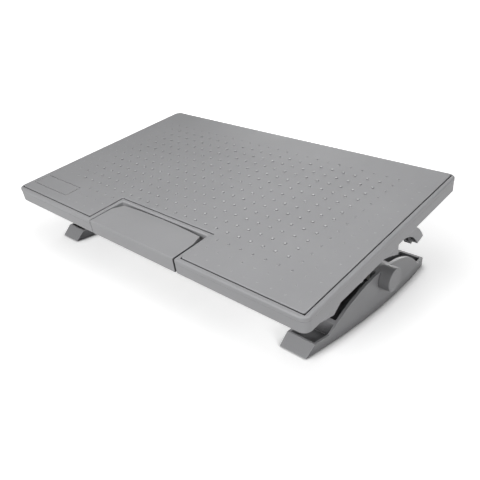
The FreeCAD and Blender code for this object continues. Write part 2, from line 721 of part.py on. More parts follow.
def pedal():
    """A hollow rocker with two facets, hinge bores and a fork for the release link."""
    body = new_body("pedal", True)
    shell = sketch_on(body, "PedalOutline", "XY_Plane", skirt_low)
    outline(shell, pedal_outline(as_size(0)))
    pad(body, shell, s.skirt_height)
    beyond = pedal_rear + 1
    fall = (beyond - pedal_crease_y) * tangent(s.pedal_fall)
    facet = sketch_on(body, "RearFacet", "YZ_Plane")
    outline(facet, (
        (pedal_crease_y, rim_top), (beyond, rim_top - fall), (beyond, rim_top + 1),
        (pedal_crease_y, rim_top + 1),
    ))
    pocket(body, facet, s.notch_width + 2, symmetric=True)
    under = sketch_on(body, "RearUnderside", "YZ_Plane")
    outline(under, (
        (pedal_crease_y + 10, skirt_low - 1), (beyond, skirt_low - 1),
        (beyond, pedal_axis_z + 2), (pedal_crease_y + 10, skirt_low),
    ))
    pocket(body, under, s.notch_width + 2, symmetric=True)
    hollow = sketch_on(body, "PedalHollow", "XY_Plane", skirt_low - 1)
    outline(hollow, pedal_outline(s.pedal_wall))
    pocket(body, hollow, s.skirt_height - s.pedal_top + 1, backwards=True)

    # Ribs under the top stay clear of the hinge rod.
    rib_place = (pedal_half - s.pedal_wall) / 2
    rib_level = pedal_axis_z + hinge_radius + 1
    rib = sketch_on(body, "PedalRib", "YZ_Plane", -rib_place - s.rib_wall / 2)
    rib_rear = pedal_rear - s.pedal_bow - s.pedal_wall / 2
    outline(rib, (
        (front_edge + s.pedal_wall / 2, rim_top - s.pedal_top + 1),
        (front_edge + s.pedal_wall / 2, rib_level), (rib_rear, rib_level),
        (rib_rear, rim_top - s.pedal_top - 1), (pedal_crease_y, rim_top - s.pedal_top + 1),
    ))
    repeat(body, pad(body, rib, s.rib_wall), "X_Axis", rib_place * 2, 2)

    fork = sketch_on(body, "PedalFork", "YZ_Plane")
    fork_arm(fork, pedal_axis_y, link_pin_z, rim_top - s.pedal_top + 1)
    pad(body, fork, fork_width, symmetric=True)
    slot = sketch_on(body, "PedalForkSlot", "YZ_Plane")
    rectangle(slot, pedal_axis_y - 12, pedal_axis_y + 12,
              link_pin_z - s.link_eye - 2, link_pin_z + s.link_eye + 3)
    pocket(body, slot, fork_slot, symmetric=True)
    hinge = sketch_on(body, "HingeBore", "YZ_Plane")
    ring(hinge, pedal_axis_y, pedal_axis_z, hinge_radius + s.running_gap)
    pocket(body, hinge, s.notch_width, symmetric=True)
    pin = sketch_on(body, "PedalPinBore", "YZ_Plane")
    ring(pin, pedal_axis_y, link_pin_z, link_pin_radius)
    pocket(body, pin, fork_width + 1, symmetric=True)
    round_edges(body, s.pedal_round, lambda edge: (
        on_level(edge, rim_top.value) and abs(edge.BoundBox.Center.y - pedal_crease_y.value) > 1))
    return body


def fork_arm(sketch, y, pin_z, top_z):
    """An arm that hangs from top_z and ends round a pin at (y, pin_z)."""
    eye = s.link_eye
    outline(sketch, (
        (y - eye - 2, top_z), (y - eye, pin_z, eye), (y, pin_z - eye, eye),
        (y + eye, pin_z), (y + eye + 2, top_z),
    ))


# ---------------------------------------------------------------- release link and collar

def release_link():
    """A flat steel link between the pedal's fork and the collar's fork."""
    body = new_body("release_link", True)
    rise = link_pin_z + s.link_arm
    length = root(pedal_axis_y * pedal_axis_y + rise * rise)
    side_y = rise / length * s.link_height / 2
    side_z = -pedal_axis_y / length * s.link_height / 2
    near = (pedal_axis_y, link_pin_z)
    far = (as_size(0), -s.link_arm)
    strip = sketch_on(body, "LinkStrip", "YZ_Plane")
    outline(strip, (
        (near[0] - side_y, near[1] - side_z), (far[0] - side_y, far[1] - side_z),
        (far[0] + side_y, far[1] + side_z), (near[0] + side_y, near[1] + side_z),
    ))
    pad(body, strip, s.link_thickness, symmetric=True)
    eyes = sketch_on(body, "LinkEyes", "YZ_Plane")
    bores = sketch_on(body, "LinkBores", "YZ_Plane")
    for y, z in (near, far):
        ring(eyes, y, z, s.link_eye)
        ring(bores, y, z, link_bore)
    pad(body, eyes, s.link_thickness, symmetric=True)
    pocket(body, bores, s.link_thickness + 1, symmetric=True)
    return body


def release_collar():
    """A ring that runs on the drum, with a fork below the tube and a bar above it."""
    body = new_body("release_collar", True)
    hoop = sketch_on(body, "CollarRing", "YZ_Plane")
    ring(hoop, 0, 0, collar_radius)
    pad(body, hoop, s.collar_width, symmetric=True)
    arm = sketch_on(body, "CollarArm", "YZ_Plane")
    fork_arm(arm, as_size(0), -s.link_arm, -drum_radius)
    pad(body, arm, s.collar_width, symmetric=True)
    slot = sketch_on(body, "CollarSlot", "YZ_Plane")
    rectangle(slot, -collar_radius, collar_radius, -s.link_arm - s.link_eye - 1, -collar_radius)
    pocket(body, slot, fork_slot, symmetric=True)
    bore = sketch_on(body, "CollarBore", "YZ_Plane")
    ring(bore, 0, 0, collar_bore)
    pocket(body, bore, s.collar_width + 1, symmetric=True)
    pin = sketch_on(body, "CollarPinBore", "YZ_Plane")
    ring(pin, 0, -s.link_arm, link_pin_radius)
    pocket(body, pin, s.collar_width + 1, symmetric=True)

    # The bar reaches over both lock bands, between their tabs.
    bar = sketch_on(body, "ReleaseBar", "YZ_Plane")
    rectangle(bar, -s.bar_width / 2, s.bar_width / 2, bar_low, bar_high)
    pad(body, bar, band_far * 2, symmetric=True)
    return body


# ---------------------------------------------------------------- lock

def lock_bands():
    """Two spring bands round the drum: one tab sits in the roof, the bar spreads the other."""
    body = new_body("lock_bands", True)
    body.AllowCompound = True
    inner, outer = band_inner, band_outer

    def height(radius, y):
        return root(radius * radius - y * y)
    fixed_far = fixed_tab + s.band_thickness
    free_far = free_tab + s.band_thickness
    free_top = (bar_low + bar_high) / 2
    for word, side in SIDES:
        strip = sketch_on(body, f"Band_{word}", "YZ_Plane", low_end(side, band_near, band_far))
        outline(strip, (
            (fixed_tab, height(inner, fixed_tab)), (fixed_tab, fixed_tab_top), (fixed_far, fixed_tab_top),
            (fixed_far, height(outer, fixed_far), -outer), (as_size(0), -outer, -outer),
            (-free_far, height(outer, free_far)), (-free_far, free_top), (-free_tab, free_top),
            (-free_tab, height(inner, free_tab), inner), (as_size(0), -inner, inner),
        ))
        pad(body, strip, s.band_length)
    return body


def lock_housing():
    """A saddle over the drum: flange, two cheeks round the tube, a roof and its ribs."""
    body = new_body("lock_housing", True)
    flange = sketch_on(body, "HousingFlange", "XY_Plane", flange_low)
    rectangle(flange, -cheek_outer, cheek_outer, -housing_flange_half, housing_flange_half)
    pad(body, flange, s.flange_thickness)
    cheek_radius = tube_radius + s.cheek_play + 5
    cheek = sketch_on(body, "HousingCheek", "YZ_Plane", cheek_inner)
    hub_and_web(cheek, cheek_radius, housing_flange_half - 6)
    mirrored(body, [pad(body, cheek, s.cheek_wall)])
    roof = sketch_on(body, "HousingRoof", "YZ_Plane")
    low = sine(as_size(20))
    wide = cosine(as_size(20))
    outline(roof, (
        (roof_outer * wide, roof_outer * low, roof_outer), (as_size(0), roof_outer, roof_outer),
        (-roof_outer * wide, roof_outer * low), (-roof_inner * wide, roof_inner * low, -roof_inner),
        (as_size(0), roof_inner, -roof_inner), (roof_inner * wide, roof_inner * low),
    ))
    pad(body, roof, cheek_outer * 2, symmetric=True)
    rib = sketch_on(body, "HousingRib", "YZ_Plane", -cheek_inner / 2 - s.rib_wall / 2)
    outline(rib, (
        (-roof_inner, flange_low + 1), (-roof_inner / 2, roof_inner), (roof_inner / 2, roof_inner),
        (roof_inner, flange_low + 1),
    ))
    repeat(body, pad(body, rib, s.rib_wall), "X_Axis", cheek_inner, 3)
    bore = sketch_on(body, "HousingBore", "YZ_Plane")
    ring(bore, 0, 0, tube_radius + s.cheek_play)
    pocket(body, bore, cheek_outer * 2 + 1, symmetric=True)
    slot = sketch_on(body, "BandTabSlot", "YZ_Plane")
    rectangle(slot, fixed_tab, fixed_tab + s.band_thickness, roof_inner - 1, fixed_tab_top)
    pocket(body, slot, band_far * 2, symmetric=True)
    return body


def hub_and_web(sketch, hub, top_half):
    """A plate that narrows from the flange to a round hub on the pivot axis."""
    outline(sketch, (
        (-top_half, flange_low + 1), (-hub, 0, hub), (as_size(0), -hub, hub), (hub, 0),
        (top_half, flange_low + 1),
    ))


# ---------------------------------------------------------------- pivot

def pivot_arm(label, side):
    """An arm that stands in the foot's channel and carries the platform on the tube."""
    body = new_body(label, True)
    middle = arm_middle * side
    half_flange = s.arm_flange_width / 2
    flange = sketch_on(body, f"ArmFlange_{label}", "XY_Plane", flange_low)
    rectangle(flange, middle - half_flange, middle + half_flange,
              -s.arm_flange_depth / 2, s.arm_flange_depth / 2)
    pad(body, flange, s.flange_thickness)
    low = middle - s.arm_width / 2
    plate = sketch_on(body, f"ArmPlate_{label}", "YZ_Plane", low)
    hub_and_web(plate, s.arm_hub_radius, s.arm_top / 2)
    pad(body, plate, s.arm_width)

    # Pockets in both faces leave a web, a border and a rib down the middle.
    depth = (s.arm_width - s.arm_web) / 2
    window_top = flange_low - s.arm_border
    window_low = s.arm_hub_radius + s.arm_border
    top_half = s.arm_top / 2 - s.arm_border - 4
    low_half = s.arm_hub_radius - s.arm_border / 2
    for face, backwards in ((low, True), (low + s.arm_width, False)):
        window = sketch_on(body, f"ArmWindow{'In' if backwards else 'Out'}_{label}", "YZ_Plane", face)
        for way in (-1, 1):
            outline(window, (
                (s.arm_web / 2, window_low), (low_half, window_low), (top_half, window_top),
                (s.arm_web / 2, window_top),
            ), flip=way < 0)
        pocket(body, window, depth, backwards=backwards)
    bore = sketch_on(body, f"ArmBore_{label}", "YZ_Plane", low)
    ring(bore, 0, 0, tube_radius + s.running_gap + s.bush_wall)
    pocket(body, bore, s.arm_width, backwards=True)
    return body


def pivot_bushes():
    """Two plastic bushes, each pressed into an arm's hub from outboard, its flange on the hub."""
    body = new_body("pivot_bushes", True)
    body.AllowCompound = True
    bore = tube_radius + s.running_gap
    face = arm_middle + s.arm_width / 2
    for word, side in SIDES:
        for piece, radius, near, far in (
                ("Sleeve", bore + s.bush_wall, face - s.arm_width, face),
                ("Flange", s.bush_flange_radius, face, channel_outer - s.bush_end_gap)):
            section = sketch_on(body, f"{piece}_{word}", "YZ_Plane", low_end(side, near, far))
            ring(section, 0, 0, radius)
            ring(section, 0, 0, bore)
            pad(body, section, far - near)
    return body


def pivot_caps():
    """Round caps on the feet's outer sides, each with a cross-shaped plug in the tube."""
    body = new_body("pivot_caps", False)
    body.AllowCompound = True
    arm = s.cap_cross / 2
    reach = root(tube_bore * tube_bore - arm * arm)
    for word, side in SIDES:
        head = sketch_on(body, f"CapHead_{word}", "YZ_Plane", low_end(side, cap_inner, s.cap_end))
        ring(head, 0, 0, s.cap_diameter / 2)
        pad(body, head, s.cap_end - cap_inner)
        plug = sketch_on(body, f"CapPlug_{word}", "YZ_Plane",
                         low_end(side, cap_inner - s.cap_plug, cap_inner))
        outline(plug, (
            (-arm, -reach), (arm, -reach), (arm, -arm), (reach, -arm), (reach, arm), (arm, arm),
            (arm, reach), (-arm, reach), (-arm, arm), (-reach, arm), (-reach, -arm), (-arm, -arm),
        ))
        pad(body, plug, s.cap_plug)
    round_edges(body, s.cap_bevel, lambda edge: (
        edge.BoundBox.XLength < 0.01 and abs(abs(edge.BoundBox.XMin) - s.cap_end.value) < 0.01),
        "Chamfer")
    return body


# ---------------------------------------------------------------- feet

def foot(label, side):
    """A trough-shaped foot: bowed outer side, arched walls, sloped toe and pivot channel."""
    body = new_body(label, False)
    flip = side < 0
    outer = s.foot_inner + s.foot_toe_width
    plan = sketch_on(body, f"FootPlan_{label}", "XY_Plane", sole)
    outline(plan, (
        (s.foot_inner, -s.foot_front), (outer, -s.foot_front, bow_radius),
        (outer, s.foot_rear), (s.foot_inner, s.foot_rear),
    ), flip=flip)
    pad(body, plan, s.arch_peak - sole)
    heel_corners = [x * side for x in (s.foot_inner.value, outer.value)]
    round_edges(body, s.heel_round,
                lambda edge: any(upright(edge, x, s.foot_rear.value) for x in heel_corners))

    above = s.arch_peak + 2
    profile = sketch_on(body, f"FootProfile_{label}", "YZ_Plane")
    outline(profile, (
        (-s.foot_front, sole), (-s.foot_front + s.toe_run, rim_level),
        (s.arch_shift - arch_half, rim_level, -s.arch_radius), (s.arch_shift + arch_half, rim_level),
        (s.foot_rear - s.heel_run, rim_level), (s.foot_rear, sole), (s.foot_rear + 2, sole),
        (s.foot_rear + 2, above), (-s.foot_front - 2, above), (-s.foot_front - 2, sole),
    ))
    pocket(body, profile, (s.foot_inner + s.foot_toe_width + s.foot_bow) * 2 + 10, symmetric=True)

    tray_front = -s.foot_front + s.toe_run + s.toe_ledge
    tray_rear = -s.bulkhead_front
    tray = sketch_on(body, f"FootTray_{label}", "XY_Plane", s.arch_peak)
    outline(tray, (
        (s.foot_inner + s.tray_wall, tray_front), (outer_side(tray_front, s.tray_wall), tray_front),
        (outer_side(tray_rear, s.tray_wall), tray_rear), (s.foot_inner + s.tray_wall, tray_rear),
    ), flip=flip)
    pocket(body, tray, s.arch_peak - trough_floor)
    channel = sketch_on(body, f"FootChannel_{label}", "XY_Plane", s.arch_peak)
    ahead = -s.bulkhead_front + s.bulkhead_wall
    behind = s.foot_rear - s.heel_run - s.heel_wall
    half_tube = s.tube_boss / 2
    bend = bow_radius - s.side_wall
    outline(channel, (
        (channel_inner, ahead), (outer_side(ahead, s.side_wall), ahead, bend),
        (outer_side(-half_tube, s.side_wall), -half_tube), (channel_outer, -half_tube),
        (channel_outer, half_tube), (outer_side(half_tube, s.side_wall), half_tube, bend),
        (outer_side(behind, s.side_wall), behind), (channel_inner, behind),
    ), flip=flip)
    pocket(body, channel, s.arch_peak - trough_floor)

    bore = sketch_on(body, f"TubeBore_{label}", "YZ_Plane", s.foot_inner * side)
    ring(bore, 0, 0, tube_radius)
    pocket(body, bore, cap_inner - s.foot_inner + 1, backwards=side > 0)
    seat = sketch_on(body, f"CapSeat_{label}", "YZ_Plane", cap_inner * side)
    ring(seat, 0, 0, s.cap_diameter / 2 + 0.25)
    pocket(body, seat, s.cap_seat + 1, backwards=side > 0)
    pads = sketch_on(body, f"PadSeats_{label}", "XY_Plane", sole)
    for place in (-s.pad_place, s.pad_place):
        middle = pad_middle * side
        rectangle(pads, middle - s.pad_width / 2, middle + s.pad_width / 2,
                  place - s.pad_length / 2, place + s.pad_length / 2)
    pocket(body, pads, s.pad_seat, backwards=True)
    return body


def sole_pad(label, side, way):
    """A rubber pad in its recess in a foot's sole."""
    body = new_body(label, False)
    middle, place = pad_middle * side, s.pad_place * way
    block = sketch_on(body, f"Pad_{label}", "XY_Plane", floor)
    rectangle(block, middle - s.pad_width / 2, middle + s.pad_width / 2,
              place - s.pad_length / 2, place + s.pad_length / 2)
    pad(body, block, s.pad_proud + s.pad_seat)
    return body


# ---------------------------------------------------------------- assembly

platform_frame()
tread_panel()
pedal()
notch_outer = notch_half + s.notch_wall
rod_along_x("pedal_hinge_rod", True, pedal_axis_y, pedal_axis_z, hinge_radius,
            -notch_outer, notch_outer)
rod_along_x("pedal_link_pin", True, pedal_axis_y, link_pin_z, link_pin_radius,
            -fork_width / 2, fork_width / 2)
release_link()
release_collar()
rod_along_x("collar_link_pin", True, 0, -s.link_arm, link_pin_radius,
            -s.collar_width / 2, s.collar_width / 2)
half_drum = s.drum_length / 2
rod_along_x("lock_drum", False, 0, 0, drum_radius, -half_drum, half_drum, tube_radius)
lock_housing()
rod_along_x("pivot_tube", False, 0, 0, tube_radius, -cap_inner, cap_inner, tube_bore)
pivot_bushes()
pivot_caps()
lock_bands()
for word, side in SIDES:
    side_guard(f"side_guard_{word}", side)
    pivot_arm(f"pivot_arm_{word}", side)
    foot(f"foot_{word}", side)
    sole_pad(f"sole_pad_{word}_front", side, -1)
    sole_pad(f"sole_pad_{word}_rear", side, 1)

# The origin is on the floor, under the middle of the box round the whole footrest.
tilt = s.rest_tilt
front_reach = ((s.pivot_back - s.rim_round) * cosine(tilt)
               + (rim_top - s.rim_round) * sine(tilt) + s.rim_round)
rear_reach = larger(s.foot_rear, rear_edge * cosine(tilt) - skirt_low * sine(tilt))
pivot_y = (front_reach - rear_reach) / 2

for node, turned in nodes:
    angle = tilt.value if turned else 0
    node.Placement = FreeCAD.Placement(Vector(0, pivot_y.value, s.pivot_height.value),
                                       FreeCAD.Rotation(Vector(1, 0, 0), angle))
    bind(node, "Placement.Base.y", pivot_y)
    bind(node, "Placement.Base.z", s.pivot_height)
    bind(node, "Placement.Rotation.Angle", tilt if turned else as_size(0))
doc.recompute()

faults = [item.Label for item in doc.Objects if "Invalid" in item.State or "Error" in item.State]
faults += [node.Label for node, turned in nodes if node.Shape.isNull() or not node.Shape.isValid()]
if faults:
    raise RuntimeError("not built: " + ", ".join(faults))

os.makedirs("parts", exist_ok=True)
for node, turned in nodes:
    node.Shape.exportStep(f"parts/{node.Label}.step")
print(len(nodes), "parts written")
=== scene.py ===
import json
import math

import bmesh
import bpy
from mathutils import Matrix, Vector

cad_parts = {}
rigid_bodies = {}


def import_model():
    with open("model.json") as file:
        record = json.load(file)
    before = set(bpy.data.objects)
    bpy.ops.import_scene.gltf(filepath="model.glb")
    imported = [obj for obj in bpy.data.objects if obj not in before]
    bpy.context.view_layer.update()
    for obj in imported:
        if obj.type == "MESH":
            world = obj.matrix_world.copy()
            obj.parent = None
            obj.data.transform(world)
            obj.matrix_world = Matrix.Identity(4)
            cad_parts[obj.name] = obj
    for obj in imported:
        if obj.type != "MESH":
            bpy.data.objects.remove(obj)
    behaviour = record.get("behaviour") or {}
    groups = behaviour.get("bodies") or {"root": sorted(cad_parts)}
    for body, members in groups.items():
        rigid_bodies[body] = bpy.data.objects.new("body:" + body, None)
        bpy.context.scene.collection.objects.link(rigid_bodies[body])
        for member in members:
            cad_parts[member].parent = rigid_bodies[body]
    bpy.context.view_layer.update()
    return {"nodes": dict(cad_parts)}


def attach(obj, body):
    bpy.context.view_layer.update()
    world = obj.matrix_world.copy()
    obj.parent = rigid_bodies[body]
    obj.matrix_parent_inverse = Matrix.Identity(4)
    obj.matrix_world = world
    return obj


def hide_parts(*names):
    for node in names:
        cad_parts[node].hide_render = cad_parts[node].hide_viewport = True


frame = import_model()

# Tilting under-desk footrest: a moulded platform on two trough-shaped feet.
# Pieces of the platform are modelled flat, in millimetres, with the origin on the pivot axis,
# +X to the user's right, +Y away from the user and +Z square to the tread. seat() tilts them to
# rest. Pieces of the feet are modelled standing, with the same origin, and seat() only lifts them.

MM = 0.001
WHITE = (1, 1, 1, 1)

PIVOT = Vector((0, 27.877, 48)) * MM
REST_TILT = math.radians(9.6)
PLATFORM = Matrix.Translation(PIVOT) @ Matrix.Rotation(REST_TILT, 4, "X")
BASE = Matrix.Translation(PIVOT)

# The platform's levels and outline.
RIM_TOP = 79.6
TREAD_TOP = 81.0
SKIRT_LOW = 58.3
FLANGE_LOW = 56.3  # underside of the flanges that the screws hold up
FRONT_EDGE = -195.6
REAR_EDGE = 159.4
HALF_WIDTH = 280.0
CORNER = 11.0  # radius of the platform's corners
NOTCH_HALF = 86.5
NOTCH_REAR = -136.1
GROOVE = 6.6  # from the platform's outer edge to the tread's edge
CREASE = 33.0  # from the front edge back to the pedal's crease

# The tread plate and its bare label place: left, right, low and high.
TREAD_THICKNESS = 4.4
TREAD_CORNER = 3
TREAD_BEVEL = 1.1
LABEL = (-267, -178.5, FRONT_EDGE + 23.5, FRONT_EDGE + 51)
LABEL_GROOVE = 1.1
LABEL_DEPTH = 1.2

# The studs: how each step of one narrows and rises, and how they stand in rows and columns.
STUD_RADIUS = 2.45
STUD_SIDES = 12
STUD_FOOT = -0.3  # below the tread's face, so that a stud grows out of it
STUD_STEPS = ((0.94, 0.4), (0.9, 0.65), (0.8, 0.3), (0.5, 0.15))
ROWS = 16
FIRST_ROW = 19.5
ROW_PITCH = 18.85
COLUMNS_EACH_SIDE = 14
COLUMN_PITCH = 19.2
ROW_SIZES = {0: 0.35, 1: 0.55, 2: 0.8, 15: 0.7}
COLUMN_SIZES = ((210, 1), (230, 0.75), (250, 0.5), (math.inf, 0.35))

# The shadow line round the skirt.
LINE_TOP = RIM_TOP - 6
LINE_HEIGHT = 0.9
LINE_DEPTH = 0.5

# The feet, the pivot caps and the screws under the flanges.
FOOT_UNDERSIDE = -47  # the pads stand 1 mm below it
CAP_MIDDLE = 266.7
CAP_FACE = 276
CAP_RADIUS = 16.5
CAP_LENGTH = 18.6
SCREW_RADIUS = 3.6
SCREW_HEIGHT = 2.2
ARM_MIDDLE, ARM_ACROSS, ARM_ALONG = 232, 21, 33
HOUSING_ACROSS, HOUSING_ALONG = 29, 24.7


# ---------------------------------------------------------------- modelling by hand, in code

def only(piece):
    """Selects one piece and makes it the active one."""
    bpy.ops.object.select_all(action="DESELECT")
    piece.select_set(True)
    bpy.context.view_layer.objects.active = piece


def start(primitive, name, place, extent=(1, 1, 1), **settings):
    """A primitive at its place and size in millimetres, left in edit mode and all selected."""
    bpy.ops.object.select_all(action="DESELECT")
    make = getattr(bpy.ops.mesh, f"primitive_{primitive}_add")
    make(location=Vector(place) * MM, **settings)
    piece = bpy.context.object
    piece.name = piece.data.name = name
    piece.scale = Vector(extent) * MM
    bpy.ops.object.transform_apply(location=True, rotation=True, scale=True)
    bpy.ops.object.mode_set(mode="EDIT")
    return piece


def choose(kind, wanted):
    """Selects the edges or faces (EDGE, FACE) of the edited piece for which wanted holds.

    wanted is given the middle of the element in millimetres, and its direction or its normal.
    """
    bpy.ops.mesh.select_mode(type=kind)
    bpy.ops.mesh.select_all(action="DESELECT")
    data = bpy.context.edit_object.data
    mesh = bmesh.from_edit_mesh(data)
    for item in {"EDGE": mesh.edges, "FACE": mesh.faces}[kind]:
        if kind == "EDGE":
            one, other = (vertex.co for vertex in item.verts)
            middle, way = (one + other) / 2, other - one
        else:
            middle, way = item.calc_center_median(), item.normal
        if wanted(middle / MM, way.normalized() if way.length else way):
            item.select_set(True)
    mesh.select_flush_mode()
    bmesh.update_edit_mesh(data)


def near(value, target, reach=0.05):
    """Whether a value is within reach of a target."""
    return abs(value - target) < reach


def move(x, y, z):
    """Moves what is selected, in millimetres."""
    bpy.ops.transform.translate(value=Vector((x, y, z)) * MM)


def cut(x, y, z, nx, ny, nz):
    """Cuts the whole edited piece along a plane through a point, square to a direction."""
    bpy.ops.mesh.select_all(action="SELECT")
    bpy.ops.mesh.bisect(plane_co=Vector((x, y, z)) * MM, plane_no=(nx, ny, nz))


def inset(thickness, depth=0):
    """Insets the selected faces, in millimetres; a depth below 0 sinks them."""
    bpy.ops.mesh.inset(thickness=thickness * MM, depth=depth * MM)


def done(piece, angle=35):
    """Leaves edit mode with the normals outward and the curves smooth."""
    bpy.ops.mesh.select_all(action="SELECT")
    bpy.ops.mesh.normals_make_consistent(inside=False)
    bpy.ops.object.mode_set(mode="OBJECT")
    only(piece)
    bpy.ops.object.shade_smooth_by_angle(angle=math.radians(angle))
    return piece


def apply_modifier(piece, kind, **settings):
    """Adds a modifier to a piece and applies it."""
    only(piece)
    modifier = piece.modifiers.new(kind.title(), kind)
    for name, value in settings.items():
        setattr(modifier, name, value)
    bpy.ops.object.modifier_apply(modifier=modifier.name)


def even_shading(piece):
    """Keeps the shading of large flat faces flat right up to their rounded edges."""
    apply_modifier(piece, "WEIGHTED_NORMAL", keep_sharp=True)


def copy_of(piece, name, x, y, z=0, scale=1):
    """A copy with a mesh of its own, scaled where it is, then moved."""
    only(piece)
    bpy.ops.object.duplicate(linked=False)
    twin = bpy.context.object
    twin.name = twin.data.name = name
    twin.data.transform(Matrix.Translation(Vector((x, y, z)) * MM) @ Matrix.Scale(scale, 4))
    return twin


def join(pieces, name):
    """Joins pieces into one."""
    only(pieces[0])
    for piece in pieces[1:]:
        piece.select_set(True)
    bpy.ops.object.join()
    pieces[0].name = pieces[0].data.name = name
    return pieces[0]


def softened(node, name, *rounds):
    """A merged copy of a CAD moulding whose mould's small radii are added to chosen sharp edges.

    Each of rounds is a radius in millimetres, a number of segments and a test that is given an
    edge's middle and direction, in the frame that its body is modelled in.
    """
    only(frame["nodes"][node])
    bpy.ops.object.duplicate(linked=False)
    piece = bpy.context.object
    standing = piece.parent.name == "body:base"
    for word in list(piece.keys()):
        del piece[word]
    piece.parent = None
    piece.matrix_world = Matrix.Identity(4)
    piece.name = piece.data.name = name
    piece.data.transform((BASE if standing else PLATFORM).inverted())
    bpy.ops.mesh.customdata_custom_splitnormals_clear()
    bpy.ops.object.mode_set(mode="EDIT")
    bpy.ops.mesh.select_all(action="SELECT")
    bpy.ops.mesh.remove_doubles(threshold=0.01 * MM)
    bpy.ops.mesh.dissolve_limited(angle_limit=math.radians(0.5))
    sharp = math.radians(28)
    for radius, segments, wanted in rounds:
        bpy.ops.mesh.select_mode(type="EDGE")
        bpy.ops.mesh.select_all(action="DESELECT")
        mesh = bmesh.from_edit_mesh(piece.data)
        for edge in mesh.edges:
            if len(edge.link_faces) == 2 and edge.calc_face_angle() > sharp:
                one, other = (vertex.co for vertex in edge.verts)
                edge.select_set(wanted((one + other) / 2 / MM, (other - one).normalized()))
        bmesh.update_edit_mesh(piece.data)
        bpy.ops.mesh.bevel(offset=radius * MM, segments=segments, profile=0.5,
                           clamp_overlap=True)
    done(piece)
    even_shading(piece)
    return piece


def seat(piece, body, *nodes, slot=None, standing=False):
    """Puts a finished piece where it belongs at rest, on its body, in place of CAD nodes."""
    piece.data.transform(BASE if standing else PLATFORM)
    piece.data.materials.clear()
    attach(piece, body)
    if nodes:
        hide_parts(*nodes)
    return piece


# ---------------------------------------------------------------- tread

def stud():
    """One stud of the tread, at the origin: steep sides and a rounded top."""
    piece = start("circle", "stud", (0, 0, STUD_FOOT), radius=STUD_RADIUS, vertices=STUD_SIDES,
                  fill_type="NGON")
    for narrowing, rise in STUD_STEPS:
        bpy.ops.mesh.extrude_region_move()
        move(0, 0, rise)
        bpy.ops.transform.resize(value=(narrowing, narrowing, 1), center_override=(0, 0, 0))
    bpy.ops.mesh.poke()
    return done(piece, 60)


def stud_size(row, away):
    """A stud's size against a full one, by its row and its distance from the middle."""
    column_size = next(size for reach, size in COLUMN_SIZES if away < reach)
    return min(ROW_SIZES.get(row, 1), column_size)


def tread():
    """The tread plate, with its rounded border, its bare label place and its field of studs."""
    left, right = -HALF_WIDTH + GROOVE, HALF_WIDTH - GROOVE
    low, high = FRONT_EDGE + GROOVE, REAR_EDGE - GROOVE
    notch_side, notch_rear = NOTCH_HALF + GROOVE, NOTCH_REAR + GROOVE
    plate = start("plane", "tread", ((left + right) / 2, (low + high) / 2, TREAD_TOP),
                  (right - left, high - low, 1), size=1)
    for x in (-notch_side, notch_side):
        cut(x, 0, 0, 1, 0, 0)
    cut(0, notch_rear, 0, 0, 1, 0)
    choose("FACE", lambda middle, normal: abs(middle.x) < notch_side and middle.y < notch_rear)
    bpy.ops.mesh.delete(type="FACE")
    bpy.ops.object.mode_set(mode="OBJECT")
    apply_modifier(plate, "SOLIDIFY", thickness=TREAD_THICKNESS * MM, offset=-1)

    bpy.ops.object.mode_set(mode="EDIT")
    turns = ((right, high), (right, low), (notch_side, low), (notch_side, notch_rear))
    corners = [(side * x, y) for side in (-1, 1) for x, y in turns]
    choose("EDGE", lambda middle, way: abs(way.z) > 0.9
           and any(near(middle.x, x) and near(middle.y, y) for x, y in corners))
    bpy.ops.mesh.bevel(offset=TREAD_CORNER * MM, segments=5)

    def on_border(middle, way):
        side, reach = abs(middle.x), TREAD_CORNER
        return middle.z > TREAD_TOP - 0.1 and (
            near(side, right, reach) or near(middle.y, low, reach)
            or near(middle.y, high, reach)
            or near(side, notch_side, reach) and middle.y < notch_rear + 1
            or near(middle.y, notch_rear, reach) and side < notch_side + 1)
    choose("EDGE", on_border)
    bpy.ops.mesh.bevel(offset=TREAD_BEVEL * MM, segments=4)

    # The label place is a bare field with a narrow groove round it, at the front left.
    for x in LABEL[:2]:
        cut(x, 0, 0, 1, 0, 0)
    for y in LABEL[2:]:
        cut(0, y, 0, 0, 1, 0)

    def on_label(middle, margin):
        return (LABEL[0] + margin < middle.x < LABEL[1] - margin
                and LABEL[2] + margin < middle.y < LABEL[3] - margin)
    choose("FACE", lambda middle, normal: normal.z > 0.9 and on_label(middle, 0))
    inset(LABEL_GROOVE)
    choose("FACE", lambda middle, normal: normal.z > 0.9 and on_label(middle, 0)
           and not on_label(middle, LABEL_GROOVE - 0.05))
    inset(0.1, -LABEL_DEPTH)
    done(plate)
    even_shading(plate)

    # Studs stand in a grid and grow smaller towards the border; pedal and label keep clear.
    first = stud()
    studs = []
    for row in range(ROWS):
        y = FRONT_EDGE + FIRST_ROW + ROW_PITCH * row
        for column in range(-COLUMNS_EACH_SIDE, COLUMNS_EACH_SIDE):
            x = COLUMN_PITCH / 2 + COLUMN_PITCH * column
            beside_pedal = abs(x) < notch_side + 6 and y < notch_rear + 8
            beside_label = x < LABEL[1] + 5 and y < LABEL[3] + 8
            if not beside_pedal and not beside_label:
                studs.append(copy_of(first, "stud_copy", x, y, TREAD_TOP,
                                     scale=stud_size(row, abs(x))))
    bpy.data.objects.remove(first)
    return seat(join([plate] + studs, "tread"), "platform", "tread_panel", slot="tread_plastic")


# ---------------------------------------------------------------- mouldings with soft edges

